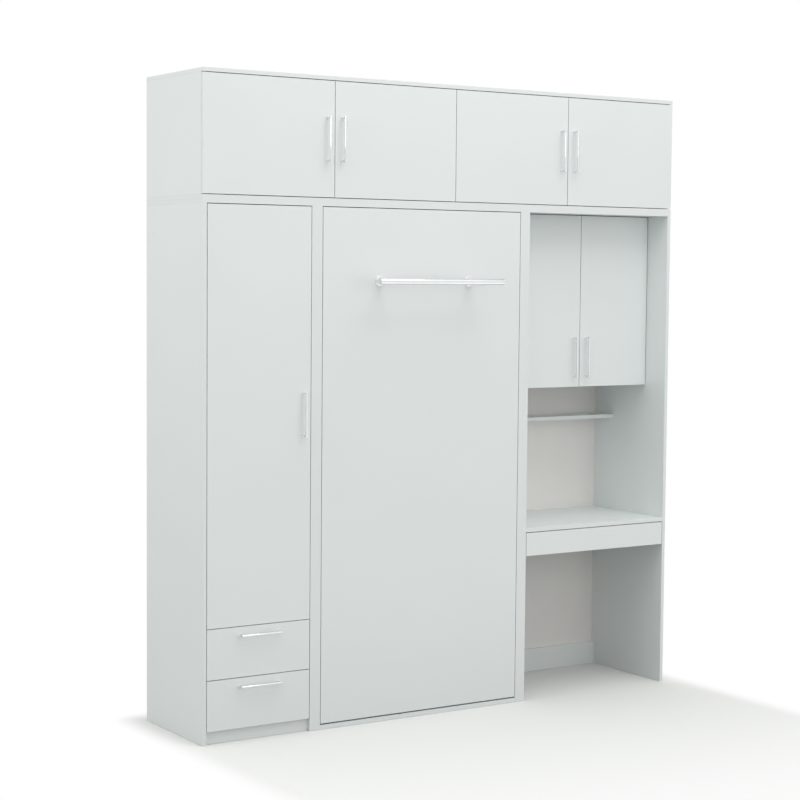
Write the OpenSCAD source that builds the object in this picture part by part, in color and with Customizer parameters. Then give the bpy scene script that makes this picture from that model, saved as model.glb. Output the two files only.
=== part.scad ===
// Fold-down wall bed in a wall of cupboards. From left to right: a wardrobe over two drawers, the
// bay that holds the bed upright, and a writing desk under a recessed cupboard. A row of four
// cupboards stands on top.
// Millimetres. +X runs to the right along the fronts, +Y to the wall and +Z up. The origin is on
// the floor, in the wall plane, at the middle of the width. All fronts and the bed are closed.

/* [Whole unit] */
// Height from the floor to the top of the roof board
unit_h = 2600; // [2560:5:2660]
// Depth from the wall to the fronts
unit_d = 500; // [490:5:560]
// Height of the lower cupboards with the top board that they share
lower_h = 2106; // [2100:1:2140]
// Width inside the wardrobe
wardrobe_w = 461; // [420:1:600]
// Width inside the bed bay
bay_w = 967; // [962:1:980]
// Width inside the desk niche
niche_w = 760; // [640:1:900]

/* [Boards and gaps] */
// Thickness of the laminated boards
board_t = 16; // [15:0.5:19]
// Thickness of the doubled sides of the bed bay
bay_side_t = 32; // [28:1:38]
// Thickness of the floor board in the bed bay
bay_floor_t = 18; // [16:1:20]
// Thickness of the back panels
back_t = 6; // [4:1:8]
// Gap round the doors, the drawer fronts and the bed front
front_gap = 3; // [2.5:0.5:4]
// Space between a closed front and the board edges behind it
rest_gap = 2; // [2:0.5:4]
// Running space between parts that pass or sit by each other
seat_gap = 0.3; // [0.2:0.1:0.4]

/* [Wardrobe] */
// Height of the plinth under the wardrobe
plinth_h = 50; // [40:1:80]
// How far the plinth stands back behind the fronts
plinth_set = 18; // [18:1:60]
// Gap between the plinth and the lowest drawer front
plinth_gap = 2; // [2:0.5:5]
// Height of one drawer front
drawer_front_h = 198; // [190:1:240]
// Height left free above the hat shelf
hat_space = 330; // [250:5:450]
// Diameter of the clothes rail
clothes_rail_d = 25; // [20:1:30]
// Drop from the hat shelf to the middle of the clothes rail
clothes_rail_drop = 60; // [50:1:90]

/* [Bed bay] */
// Height of the upper rear rail, which is screwed to the wall
wall_rail_h = 160; // [140:5:220]
// Height of the lower rear rail
low_rail_h = 100; // [80:5:120]
// Diameter of the wall screw holes
wall_hole_d = 8; // [6:0.5:12]
// Distance between the wall screw holes, sideways
wall_hole_dx = 800; // [600:10:860]
// Distance between the wall screw holes, upwards
wall_hole_dz = 80; // [50:5:100]

/* [Desk and niche] */
// Height of the desk surface
desk_h = 744; // [720:1:780]
// Height of the desk drawer front
desk_front_h = 99; // [90:1:120]
// Height of the rail at the foot of the knee space
knee_rail_h = 103; // [60:1:150]
// Height of the top of the small shelf
shelf_z = 1186; // [1100:1:1250]
// Depth of the small shelf
shelf_d = 136; // [100:1:250]
// How far the recessed cupboard stands back behind the fronts
recess = 134; // [80:1:200]
// Height of the lower edge of the recessed doors
recess_door_z = 1336; // [1300:1:1450]

/* [Doors and hinges] */
// Diameter of the hinge cup
cup_d = 35; // [26:1:36]
// Depth of the hinge cup in the door
cup_depth = 12; // [10:0.5:13]
// Distance from the door edge to the middle of the cup
cup_edge = 22.5; // [21:0.5:24]
// Thickness of the cup flange on the door
flange_t = 1.5; // [1:0.1:1.8]
// Width of the cup flange
flange_w = 26; // [24:1:30]
// Height of the cup flange
flange_h = 60; // [50:1:64]
// Distance from the door end to the nearest hinge
hinge_inset = 90; // [70:5:110]
// Width of the hinge arm
arm_w = 14; // [12:1:16]
// Height of the hinge arm
arm_h = 18; // [14:1:22]
// Length of the hinge arm
arm_l = 62; // [50:1:75]
// Height of the mounting plate under the arm
mount_plate_h = 50; // [40:1:60]
// Thickness of the mounting plate
mount_plate_t = 3; // [2:0.5:4]

/* [Handles] */
// Diameter of the handle bar
bar_d = 10; // [8:0.5:14]
// Length of the handle bar
bar_l = 180; // [176:1:240]
// Distance between the two posts
bar_cc = 168; // [128:1:168]
// Distance from the front to the middle of the bar
bar_out = 28; // [24:1:34]
// Diameter of a post
post_d = 8; // [6:0.5:8]
// Distance from the edge of the front to the middle of the bar
bar_edge = 32; // [26:1:60]
// Distance from the lower edge of a recessed door to its bar
low_bar_edge = 40; // [20:1:80]

/* [Drawer boxes] */
// Wall thickness of the drawer boxes
box_t = 12; // [10:1:15]
// Bottom thickness of the drawer boxes
box_floor_t = 6; // [4:1:9]
// Space between the drawer boxes and the back panel
box_rear_gap = 38; // [20:1:80]
// Height of the wardrobe drawer boxes
box_h = 150; // [120:1:160]
// Height of the desk drawer box
desk_box_h = 72; // [60:1:78]
// Distance from the lower edge of a wardrobe front to its box
box_lift = 22; // [20:1:26]
// Distance from the lower edge of the desk front to its box
desk_box_lift = 14; // [12:1:20]
// Width taken up by one runner
slide_t = 13; // [12:0.5:16]
// Height of the runner
slide_h = 35; // [30:1:45]
// Sheet thickness of the runner track
track_t = 2; // [1.5:0.1:2.5]

/* [Bed] */
// Space between the mattress and each side of the bay, for the lift gear
mattress_gap = 33.5; // [32:0.5:40]
// Space between the top of the frame and the upper edge of the bed front
head_gap = 19; // [10:1:40]
// Thickness of the mattress
mattress_t = 180; // [140:5:200]
// Height of the pivot over the floor
pivot_h = 190; // [186:1:230]
// Distance from the fronts to the pivot
pivot_back = 40; // [38:0.5:42]
// Space under the bed front, which dips as it swings
swing_gap = 6; // [6:0.5:8]
// Width of the frame tubes, seen on the open bed
tube_w = 25; // [20:1:30]
// Depth of the frame tubes
tube_h = 50; // [48:1:60]
// Wall thickness of the frame tubes
tube_wall = 2; // [1.5:0.5:3]
// Number of cross tubes
cross_n = 4; // [3:1:6]
// Number of slats
slat_n = 14; // [10:1:16]
// Width of a slat
slat_w = 60; // [50:1:70]
// Thickness of a slat
slat_t = 9; // [8:0.5:12]
// Width of the frame beyond the mattress
frame_over = 8; // [8:1:12]
// Width of a mattress strap
strap_w = 40; // [30:1:50]
// Thickness of a mattress strap
strap_t = 2; // [1.5:0.1:2.5]
// Height of the lower mattress strap
strap_low = 700; // [500:10:800]
// Distance from the lower to the upper mattress strap
strap_pitch = 800; // [600:10:900]

/* [Leg] */
// Length of the leg bar
leg_l = 600; // [480:5:800]
// Diameter of the leg bar
leg_d = 25; // [22:1:30]
// Wall thickness of the leg bar
leg_wall = 2; // [1.5:0.1:3]
// Thickness of the end caps of the leg bar
leg_cap_t = 3; // [2:0.5:5]
// Length of the plug of an end cap
leg_plug_l = 12; // [8:1:20]
// Height of the leg on the closed bed
leg_z = 1796; // [1700:1:1850]
// Distance between the two posts of the leg
leg_span = 434; // [380:1:440]
// Diameter of a leg post
leg_post_d = 20; // [16:1:22]
// Diameter of the leg flanges
leg_flange_d = 42; // [38:1:60]
// Thickness of the leg flanges
leg_flange_t = 4; // [3:0.5:6]

/* [Lift gear] */
// Diameter of the pivot pins
pivot_d = 16; // [14:1:18]
// Diameter of the pivot hubs
hub_d = 32; // [28:1:36]
// Radial clearance of the pivot and strut pins
pin_play = 0.05; // [0.03:0.01:0.08]
// Thickness of the fixed side plates
side_plate_t = 2; // [1.5:0.1:2.2]
// Thickness of the brackets on the bed frame
bracket_t = 5; // [4:0.5:6]
// Diameter of the gas strut cylinder
strut_d = 18; // [15:1:18]
// Diameter of the gas strut rod
strut_rod_d = 9; // [8:0.5:10]
// Thickness of the strut ends
strut_eye_t = 10; // [8:0.5:12]
// Diameter of the strut ends
strut_eye_d = 20; // [18:1:22]
// Diameter of the pin that carries the cylinder
strut_pin_d = 8; // [6:0.5:10]
// Distance from the fronts to the fixed strut pin
strut_fix_y = 150; // [145:1:160]
// Height of the fixed strut pin over the pivot
strut_fix_z = 235; // [225:1:245]
// Distance from the fronts to the strut stud on the bed
strut_bed_y = 42; // [40:0.5:44]
// Distance from the pivot down to the strut stud on the bed
strut_bed_z = 125; // [120:1:130]

/* [Hidden] */
$fn = 48;
BOARD = [0.87, 0.89, 0.88];
BACKING = [0.73, 0.71, 0.69];
STEEL = [0.62, 0.64, 0.66];
BRIGHT = [0.90, 0.91, 0.92];
TIMBER = [0.82, 0.70, 0.52];
TICKING = [0.93, 0.92, 0.89];
WEBBING = [0.25, 0.26, 0.28];
eps = 0.01;

// Planes across the width
unit_w = wardrobe_w + bay_w + niche_w + 4 * board_t + 2 * bay_side_t;
x_left = -unit_w / 2;
x_ward_l = x_left + board_t;
x_ward_r = x_ward_l + wardrobe_w;
x_bay_l = x_ward_r + board_t + bay_side_t;
x_bay_r = x_bay_l + bay_w;
x_niche_l = x_bay_r + bay_side_t + board_t;
x_niche_r = x_niche_l + niche_w;
x_right = unit_w / 2;
bed_x = (x_bay_l + x_bay_r) / 2;

// Planes from front to back
y_front = -unit_d;
y_behind = y_front + board_t + rest_gap;
y_back = -back_t;
y_recess = y_front + recess;

// Planes from the floor up
z_under = lower_h - board_t;
z_cup_floor = lower_h + board_t;
z_cup_roof = unit_h - board_t;
z_drawer_1 = plinth_h + plinth_gap;
z_drawer_2 = z_drawer_1 + drawer_front_h + front_gap;
z_ward_door = z_drawer_2 + drawer_front_h + front_gap;
z_mid_shelf = z_ward_door - front_gap / 2 - board_t / 2;
z_hat_shelf = z_under - hat_space - board_t;
z_desk_front = desk_h - board_t - front_gap - desk_front_h;

// One row per door: left and right edge, front plane, lower and upper edge, hinge side (-1 left,
// 1 right), number of hinges, face that carries the hinges, middle height of the handle
top_pitch = unit_w / 4;
top_lo = z_cup_floor + front_gap;
top_hi = z_cup_roof - front_gap;
recess_hi = z_under - front_gap;
ward_hi = z_under - front_gap;
niche_mid = (x_niche_l + x_niche_r) / 2;
top_bar_z = (top_lo + top_hi) / 2;
low_bar_z = recess_door_z + low_bar_edge + bar_l / 2;
TOP_1 = [x_left, x_left + top_pitch - front_gap / 2, y_front, top_lo, top_hi, -1, 2,
    x_left + board_t, top_bar_z];
TOP_2 = [x_left + top_pitch + front_gap / 2, -front_gap / 2, y_front, top_lo, top_hi, 1, 2,
    -board_t / 2, top_bar_z];
TOP_3 = [front_gap / 2, x_right - top_pitch - front_gap / 2, y_front, top_lo, top_hi, -1, 2,
    board_t / 2, top_bar_z];
TOP_4 = [x_right - top_pitch + front_gap / 2, x_right, y_front, top_lo, top_hi, 1, 2,
    x_right - board_t, top_bar_z];
WARDROBE = [x_ward_l + front_gap, x_ward_r - front_gap, y_front, z_ward_door, ward_hi, -1, 4,
    x_ward_l, (z_ward_door + ward_hi) / 2];
RECESS_L = [x_niche_l + front_gap, niche_mid - front_gap / 2, y_recess, recess_door_z, recess_hi,
    -1, 2, x_niche_l, low_bar_z];
RECESS_R = [niche_mid + front_gap / 2, x_niche_r - front_gap, y_recess, recess_door_z, recess_hi,
    1, 2, x_niche_r, low_bar_z];
DOORS = [TOP_1, TOP_2, TOP_3, TOP_4, WARDROBE, RECESS_L, RECESS_R];

box_d = unit_d - board_t - back_t - box_rear_gap;
// One row per drawer: opening left and right, lower and upper edge of the front, box floor, box
// height
LOWER = [x_ward_l, x_ward_r, z_drawer_1, z_drawer_1 + drawer_front_h, z_drawer_1 + box_lift, box_h];
UPPER = [x_ward_l, x_ward_r, z_drawer_2, z_drawer_2 + drawer_front_h, z_drawer_2 + box_lift, box_h];
DESK = [x_niche_l, x_niche_r, z_desk_front, z_desk_front + desk_front_h,
    z_desk_front + desk_box_lift, desk_box_h];
DRAWERS = [LOWER, UPPER, DESK];

// Bed, from the front panel backwards
z_bed = bay_floor_t + swing_gap;
bed_hi = z_under - front_gap;
y_frame = y_front + board_t;
y_slats = y_frame + tube_h;
y_mattress = y_slats + slat_t + seat_gap;
mattress_w = bay_w - 2 * mattress_gap;
frame_w = mattress_w + frame_over;
frame_rise = 12;
frame_end = 16;
z_frame = z_bed + frame_rise;
z_frame_top = bed_hi - head_gap;
frame_l = z_frame_top - z_frame;
mattress_l = frame_l - 2 * frame_end;
stop_t = 3;
stop_w = 120;
stop_reach = 84;
stop_flange_h = 18;
stop_dx = 230;
stop_rise = 3;
z_stop = z_frame + stop_rise;
z_mattress = z_stop + stop_t + seat_gap;
weld_gap = 0.2;
slat_in = 14;
slat_margin = 76;
strap_z = [strap_low, strap_low + strap_pitch];
strap_gap = 0.3;

// Lift gear, seen from the side
y_pivot = y_front + pivot_back;
y_fix = y_front + strut_fix_y;
y_stud = y_front + strut_bed_y;
z_fix = pivot_h + strut_fix_z;
z_stud = pivot_h - strut_bed_z;
x_bracket = frame_w / 2;
x_plate = bay_w / 2 - side_plate_t;
x_strut = (x_bracket + bracket_t + x_plate) / 2;
pin_tip = 1;
head_t = 2;
head_d = 14;
stud_d = 12;
plate_margin = 20;
bracket_under = 28;
bracket_over = 45;
bracket_front = 2;
strut_rise = z_stud - z_fix;
strut_run = strut_bed_y - strut_fix_y;
strut_l = sqrt(strut_run * strut_run + strut_rise * strut_rise);
strut_angle = atan2(-strut_run, strut_rise);
// The stud turns a quarter round the pivot as the bed comes down
open_y = pivot_back + strut_bed_z;
open_z = pivot_h + (strut_bed_y - pivot_back);
strut_l_open = sqrt(pow(open_y - strut_fix_y, 2) + pow(open_z - z_fix, 2));
neck_gap = 28;
cylinder_l = strut_l_open - neck_gap;
dead_end = 24;
rod_in = strut_l_open - dead_end;
neck_d = strut_eye_t - 2 * seat_gap;
neck_in = 4;
bore_from = 20;
rod_play = 0.3;

// The leg stands on the floor when the bed is open
leg_reach = pivot_h - pivot_back;
leg_cap_play = 0.1;

// A box between two planes on each axis
module slab(x, y, z) {
    translate([x[0], y[0], z[0]])
        cube([x[1] - x[0], y[1] - y[0], z[1] - z[0]]);
}

// A round bar along X
module x_bar(x, y, z, d) {
    translate([x[0], y, z])
        rotate([0, 90, 0])
            cylinder(d = d, h = x[1] - x[0]);
}

// A round bar along Y
module y_bar(x, y, z, d) {
    translate([x, y[0], z])
        rotate([-90, 0, 0])
            cylinder(d = d, h = y[1] - y[0]);
}

// Carcass boards
module wardrobe_sides() {
    color(BOARD) {
        slab([x_left, x_ward_l], [y_front, 0], [0, z_under]);
        slab([x_ward_r, x_ward_r + board_t], [y_front, 0], [0, z_under]);
    }
}

module wardrobe_boards() {
    depth = [y_behind, y_back];
    color(BOARD) {
        slab([x_ward_l, x_ward_r], depth, [plinth_h, plinth_h + board_t]);
        slab([x_ward_l, x_ward_r], depth, [z_mid_shelf, z_mid_shelf + board_t]);
        slab([x_ward_l, x_ward_r], depth, [z_hat_shelf, z_hat_shelf + board_t]);
    }
}

module wardrobe_plinth() {
    y = y_front + plinth_set;
    color(BOARD)
        slab([x_ward_l, x_ward_r], [y, y + board_t], [0, plinth_h]);
}

module clothes_rail() {
    y = y_front + unit_d / 2;
    z = z_hat_shelf - clothes_rail_drop;
    socket_t = 6;
    socket_rim = 7;
    rail_wall = 1.5;
    socket_d = clothes_rail_d + 2 * socket_rim;
    color(BRIGHT)
        difference() {
            union() {
                x_bar([x_ward_l, x_ward_r], y, z, clothes_rail_d);
                x_bar([x_ward_l, x_ward_l + socket_t], y, z, socket_d);
                x_bar([x_ward_r - socket_t, x_ward_r], y, z, socket_d);
            }
            x_bar([x_ward_l - eps, x_ward_r + eps], y, z, clothes_rail_d - 2 * rail_wall);
        }
}

module bay_sides() {
    color(BOARD) {
        slab([x_bay_l - bay_side_t, x_bay_l], [y_front, 0], [0, z_under]);
        slab([x_bay_r, x_bay_r + bay_side_t], [y_front, 0], [0, z_under]);
    }
}

module bay_floor() {
    color(BOARD)
        slab([x_bay_l, x_bay_r], [y_front, 0], [0, bay_floor_t]);
}

// Wall screw holes, through the upper rear rail and the back panel
module wall_holes() {
    z_mid = z_under - wall_rail_h / 2;
    for (sx = [-1, 1], sz = [-1, 1])
        y_bar(bed_x + sx * wall_hole_dx / 2, [y_back - 2 * board_t, eps], z_mid + sz * wall_hole_dz / 2,
            wall_hole_d);
}

module rear_rails() {
    depth = [y_back - board_t, y_back];
    color(BOARD) {
        difference() {
            slab([x_bay_l, x_bay_r], depth, [z_under - wall_rail_h, z_under]);
            wall_holes();
        }
        slab([x_bay_l, x_bay_r], depth, [bay_floor_t, bay_floor_t + low_rail_h]);
        slab([x_niche_l, x_niche_r], depth, [0, knee_rail_h]);
    }
}

module desk_sides() {
    color(BOARD) {
        slab([x_niche_l - board_t, x_niche_l], [y_front, 0], [0, z_under]);
        slab([x_niche_r, x_right], [y_front, 0], [0, z_under]);
    }
}

module desk_top() {
    color(BOARD)
        slab([x_niche_l, x_niche_r], [y_front, y_back], [desk_h - board_t, desk_h]);
}

module niche_boards() {
    width = [x_niche_l, x_niche_r];
    cupboard = [y_recess + board_t + rest_gap, y_back];
    edge_step = 2;
    z_floor = recess_door_z + edge_step;
    z_inner = (z_floor + board_t + z_under) / 2;
    color(BOARD) {
        slab(width, [y_back - shelf_d, y_back], [shelf_z - board_t, shelf_z]);
        slab(width, cupboard, [z_floor, z_floor + board_t]);
        slab(width, cupboard, [z_inner - board_t / 2, z_inner + board_t / 2]);
    }
}

module niche_back() {
    color(BACKING)
        slab([x_niche_l, x_niche_r], [y_back, 0], [0, z_under]);
}

module back_panels() {
    color(BOARD) {
        slab([x_ward_l, x_ward_r], [y_back, 0], [0, z_under]);
        difference() {
            slab([x_bay_l, x_bay_r], [y_back, 0], [bay_floor_t, z_under]);
            wall_holes();
        }
        slab([x_left + board_t, x_right - board_t], [y_back, 0], [z_cup_floor, z_cup_roof]);
    }
}

module full_width_board(z) {
    color(BOARD)
        slab([x_left, x_right], [y_front, 0], [z, z + board_t]);
}

module top_uprights() {
    height = [z_cup_floor, z_cup_roof];
    color(BOARD) {
        slab([x_left, x_left + board_t], [y_behind, 0], height);
        slab([-board_t / 2, board_t / 2], [y_behind, y_back], height);
        slab([x_right - board_t, x_right], [y_behind, 0], height);
    }
}

// Doors, with their hinges and handles
function hinge_x(d) = d[5] < 0 ? d[0] + cup_edge : d[1] - cup_edge;
function hinge_z(d, i) = d[3] + hinge_inset + i * (d[4] - d[3] - 2 * hinge_inset) / (d[6] - 1);

module door(d) {
    rear = d[2] + board_t;
    color(BOARD)
        difference() {
            slab([d[0], d[1]], [d[2], rear], [d[3], d[4]]);
            for (i = [0 : d[6] - 1])
                y_bar(hinge_x(d), [rear - cup_depth, rear + eps], hinge_z(d, i), cup_d);
        }
}

module hinge_cups(d) {
    rear = d[2] + board_t;
    x = hinge_x(d);
    cup_play = 0.2;
    color(STEEL)
        for (i = [0 : d[6] - 1]) {
            z = hinge_z(d, i);
            y_bar(x, [rear - cup_depth + cup_play, rear + eps], z, cup_d - 2 * cup_play);
            slab([x - flange_w / 2, x + flange_w / 2], [rear, rear + flange_t],
                [z - flange_h / 2, z + flange_h / 2]);
        }
}

module hinge_arm(d, z) {
    y = d[2] + board_t + flange_t + seat_gap;
    x = d[5] < 0 ? [d[7], d[7] + arm_w] : [d[7] - arm_w, d[7]];
    plate_x = d[5] < 0 ? [d[7], d[7] + mount_plate_t] : [d[7] - mount_plate_t, d[7]];
    plate_in = 22;
    plate_l = 32;
    plate_y = y + plate_in;
    slab(x, [y, y + arm_l], [z - arm_h / 2, z + arm_h / 2]);
    slab(plate_x, [plate_y, plate_y + plate_l], [z - mount_plate_h / 2, z + mount_plate_h / 2]);
}

module hinge_arms() {
    color(STEEL)
        for (d = DOORS, i = [0 : d[6] - 1])
            hinge_arm(d, hinge_z(d, i));
}

// A bar handle on two posts, along X, on a front in the plane Y = 0
module bar_handle() {
    color(BRIGHT) {
        x_bar([-bar_l / 2, bar_l / 2], -bar_out, 0, bar_d);
        for (s = [-1, 1])
            y_bar(s * bar_cc / 2, [-bar_out, 0], 0, post_d);
    }
}

module door_handle(d) {
    x = d[5] < 0 ? d[1] - bar_edge : d[0] + bar_edge;
    translate([x, d[2], d[8]])
        rotate([0, 90, 0])
            bar_handle();
}

// Drawers, with their runners and handles
module drawer_front(d) {
    color(BOARD)
        slab([d[0] + front_gap, d[1] - front_gap], [y_front, y_front + board_t], [d[2], d[3]]);
}

module drawer_box(d) {
    x = [d[0] + slide_t, d[1] - slide_t];
    y = [y_front + board_t, y_front + board_t + box_d];
    z = [d[4], d[4] + d[5]];
    inside_x = [x[0] + box_t, x[1] - box_t];
    inside_y = [y[0] + box_t, y[1] - box_t];
    color(BOARD)
        difference() {
            slab(x, y, z);
            slab(inside_x, inside_y, [z[0] + box_floor_t, z[1] + eps]);
        }
}

function slide_z(d) = d[4] + d[5] / 2;

module drawer_slides(d) {
    y = [y_front + board_t, y_front + board_t + box_d];
    half = slide_h / 2 - track_t - seat_gap;
    z = [slide_z(d) - half, slide_z(d) + half];
    color(STEEL) {
        slab([d[0] + track_t + seat_gap, d[0] + slide_t], y, z);
        slab([d[1] - slide_t, d[1] - track_t - seat_gap], y, z);
    }
}

// One channel-shaped track on the side at x, open towards s
module track(x, s, z) {
    y = [y_behind, y_front + board_t + box_d];
    lip_gap = 2;
    lip = slide_t - lip_gap;
    web = s > 0 ? [x, x + track_t] : [x - track_t, x];
    lips = s > 0 ? [x, x + lip] : [x - lip, x];
    slab(web, y, [z - slide_h / 2, z + slide_h / 2]);
    slab(lips, y, [z - slide_h / 2, z - slide_h / 2 + track_t]);
    slab(lips, y, [z + slide_h / 2 - track_t, z + slide_h / 2]);
}

module runner_tracks() {
    color(STEEL)
        for (d = DRAWERS) {
            track(d[0], 1, slide_z(d));
            track(d[1], -1, slide_z(d));
        }
}

module drawer_handle(d) {
    translate([(d[0] + d[1]) / 2, y_front, d[3] - bar_edge])
        bar_handle();
}

// Bed
module bed_front() {
    color(BOARD)
        slab([x_bay_l + front_gap, x_bay_r - front_gap], [y_front, y_front + board_t], [z_bed, bed_hi]);
}

// A straight square tube with open ends: along = 0 for X, 2 for Z
module square_tube(x, y, z, along) {
    w = tube_wall;
    ix = along == 0 ? [x[0] - eps, x[1] + eps] : [x[0] + w, x[1] - w];
    iz = along == 2 ? [z[0] - eps, z[1] + eps] : [z[0] + w, z[1] - w];
    difference() {
        slab(x, y, z);
        slab(ix, [y[0] + w, y[1] - w], iz);
    }
}

module bed_frame() {
    y = [y_frame, y_slats];
    half = frame_w / 2;
    inner = half - tube_w - weld_gap;
    cross_pitch = (frame_l - tube_w) / (cross_n - 1);
    color(STEEL) {
        for (s = [-1, 1])
            translate([bed_x + s * (half - tube_w / 2), 0, 0])
                square_tube([-tube_w / 2, tube_w / 2], y, [z_frame, z_frame_top], 2);
        for (i = [0 : cross_n - 1])
            translate([bed_x, 0, z_frame + i * cross_pitch])
                square_tube([-inner, inner], y, [0, tube_w], 0);
        for (s = [-1, 1])
            translate([bed_x + s * stop_dx, 0, z_stop]) {
                slab([-stop_w / 2, stop_w / 2], [y_slats, y_slats + stop_reach], [0, stop_t]);
                slab([-stop_w / 2, stop_w / 2], [y_slats, y_slats + stop_t], [0, stop_flange_h]);
            }
    }
}

module bed_slats() {
    half = frame_w / 2 - slat_in;
    first = z_frame + slat_margin;
    pitch = (frame_l - 2 * slat_margin - slat_w) / (slat_n - 1);
    color(TIMBER)
        for (i = [0 : slat_n - 1])
            slab([bed_x - half, bed_x + half], [y_slats, y_slats + slat_t],
                [first + i * pitch, first + i * pitch + slat_w]);
}

module mattress() {
    color(TICKING)
        slab([bed_x - mattress_w / 2, bed_x + mattress_w / 2], [y_mattress, y_mattress + mattress_t],
            [z_mattress, z_mattress + mattress_l]);
}

module mattress_straps() {
    inner = mattress_w / 2 + strap_gap;
    outer = inner + strap_t;
    y_over = y_mattress + mattress_t + strap_gap;
    color(WEBBING)
        for (z = strap_z)
            difference() {
                slab([bed_x - outer, bed_x + outer], [y_slats, y_over + strap_t], [z, z + strap_w]);
                slab([bed_x - inner, bed_x + inner], [y_slats - eps, y_over], [z - eps, z + strap_w + eps]);
            }
}

// An end cap of the leg bar: s = -1 left, 1 right
module leg_cap(s) {
    tip = s * leg_l / 2;
    face = tip - s * leg_cap_t;
    x_bar([min(tip, face), max(tip, face)], 0, 0, leg_d);
    plug = face - s * leg_plug_l;
    x_bar([min(plug, face), max(plug, face)], 0, 0, leg_d - 2 * (leg_wall + leg_cap_play));
}

// A straight tube with end caps, on two posts with flanges
module bed_leg() {
    bar_y = leg_reach - leg_d / 2;
    tube_end = leg_l / 2 - leg_cap_t - leg_cap_play;
    color(BRIGHT)
        translate([bed_x, y_front - bar_y, leg_z]) {
            difference() {
                union() {
                    x_bar([-tube_end, tube_end], 0, 0, leg_d);
                    for (s = [-1, 1]) {
                        y_bar(s * leg_span / 2, [0, bar_y], 0, leg_post_d);
                        y_bar(s * leg_span / 2, [bar_y - leg_flange_t, bar_y], 0, leg_flange_d);
                    }
                }
                x_bar([-leg_l / 2, leg_l / 2], 0, 0, leg_d - 2 * leg_wall);
            }
            for (s = [-1, 1])
                leg_cap(s);
        }
}

// Lift gear: each piece is made for the right side and mirrored to the left
module both_sides() {
    translate([bed_x, 0, 0]) {
        children();
        mirror([1, 0, 0])
            children();
    }
}

module lift_side_plates() {
    lo = pivot_h - plate_margin - pivot_d;
    hi = z_fix + plate_margin;
    color(STEEL)
        both_sides() {
            slab([x_plate, bay_w / 2], [y_pivot - plate_margin, y_fix + plate_margin], [lo, hi]);
            x_bar([x_bracket + pin_tip, x_plate + eps], y_pivot, pivot_h, pivot_d);
            x_bar([x_strut - strut_eye_t / 2 - seat_gap, x_plate + eps], y_fix, z_fix, strut_pin_d);
            x_bar([x_strut - strut_eye_t / 2 - seat_gap - head_t, x_strut - strut_eye_t / 2 - seat_gap],
                y_fix, z_fix, head_d);
        }
}

module bed_brackets() {
    reach = x_bracket + bracket_t;
    color(STEEL)
        both_sides() {
            difference() {
                union() {
                    slab([x_bracket, reach], [y_frame + bracket_front, y_slats - bracket_front],
                        [z_stud - bracket_under, pivot_h + bracket_over]);
                    x_bar([reach - eps, x_plate - seat_gap], y_pivot, pivot_h, hub_d);
                }
                x_bar([x_bracket - eps, x_plate + eps], y_pivot, pivot_h, pivot_d + 2 * pin_play);
            }
            x_bar([reach - eps, x_strut - strut_eye_t / 2 - seat_gap], y_stud, z_stud, stud_d);
        }
}

// Places its children at the fixed strut pin, with +Z along the strut to the bed
module along_strut() {
    translate([x_strut, y_fix, z_fix])
        rotate([strut_angle, 0, 0])
            children();
}

module strut_cylinders() {
    color(WEBBING)
        both_sides()
            along_strut()
                difference() {
                    union() {
                        x_bar([-strut_eye_t / 2, strut_eye_t / 2], 0, 0, strut_eye_d);
                        cylinder(d = neck_d, h = bore_from);
                        translate([0, 0, bore_from - neck_in])
                            cylinder(d = strut_d, h = cylinder_l - bore_from + neck_in);
                    }
                    x_bar([-strut_eye_t, strut_eye_t], 0, 0, strut_pin_d + 2 * pin_play);
                    translate([0, 0, bore_from])
                        cylinder(d = strut_rod_d + 2 * rod_play, h = cylinder_l);
                }
}

module strut_rods() {
    color(BRIGHT)
        both_sides()
            along_strut() {
                translate([0, 0, strut_l - rod_in])
                    cylinder(d = strut_rod_d, h = rod_in);
                translate([0, 0, strut_l])
                    x_bar([-strut_eye_t / 2, strut_eye_t / 2], 0, 0, strut_eye_d);
            }
}

wardrobe_sides();
wardrobe_boards();
wardrobe_plinth();
clothes_rail();
bay_sides();
bay_floor();
rear_rails();
desk_sides();
desk_top();
niche_boards();
niche_back();
back_panels();
full_width_board(z_under);  // main_top_board
full_width_board(lower_h);  // top_floor_board
full_width_board(z_cup_roof);  // top_roof_board
top_uprights();
hinge_arms();
runner_tracks();
lift_side_plates();
door(TOP_1);  // top_door_1
door(TOP_2);  // top_door_2
door(TOP_3);  // top_door_3
door(TOP_4);  // top_door_4
door(WARDROBE);  // wardrobe_door
door(RECESS_L);  // recess_door_left
door(RECESS_R);  // recess_door_right
door_handle(TOP_1);  // top_door_1_handle
door_handle(TOP_2);  // top_door_2_handle
door_handle(TOP_3);  // top_door_3_handle
door_handle(TOP_4);  // top_door_4_handle
door_handle(WARDROBE);  // wardrobe_door_handle
door_handle(RECESS_L);  // recess_door_left_handle
door_handle(RECESS_R);  // recess_door_right_handle
hinge_cups(TOP_1);  // top_door_1_hinge_cups
hinge_cups(TOP_2);  // top_door_2_hinge_cups
hinge_cups(TOP_3);  // top_door_3_hinge_cups
hinge_cups(TOP_4);  // top_door_4_hinge_cups
hinge_cups(WARDROBE);  // wardrobe_door_hinge_cups
hinge_cups(RECESS_L);  // recess_door_left_hinge_cups
hinge_cups(RECESS_R);  // recess_door_right_hinge_cups
drawer_front(LOWER);  // lower_drawer_front
drawer_box(LOWER);  // lower_drawer_box
drawer_slides(LOWER);  // lower_drawer_slides
drawer_handle(LOWER);  // lower_drawer_handle
drawer_front(UPPER);  // upper_drawer_front
drawer_box(UPPER);  // upper_drawer_box
drawer_slides(UPPER);  // upper_drawer_slides
drawer_handle(UPPER);  // upper_drawer_handle
drawer_front(DESK);  // desk_drawer_front
drawer_box(DESK);  // desk_drawer_box
drawer_slides(DESK);  // desk_drawer_slides
bed_front();
bed_frame();
bed_slats();
mattress();
mattress_straps();
bed_leg();
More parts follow.
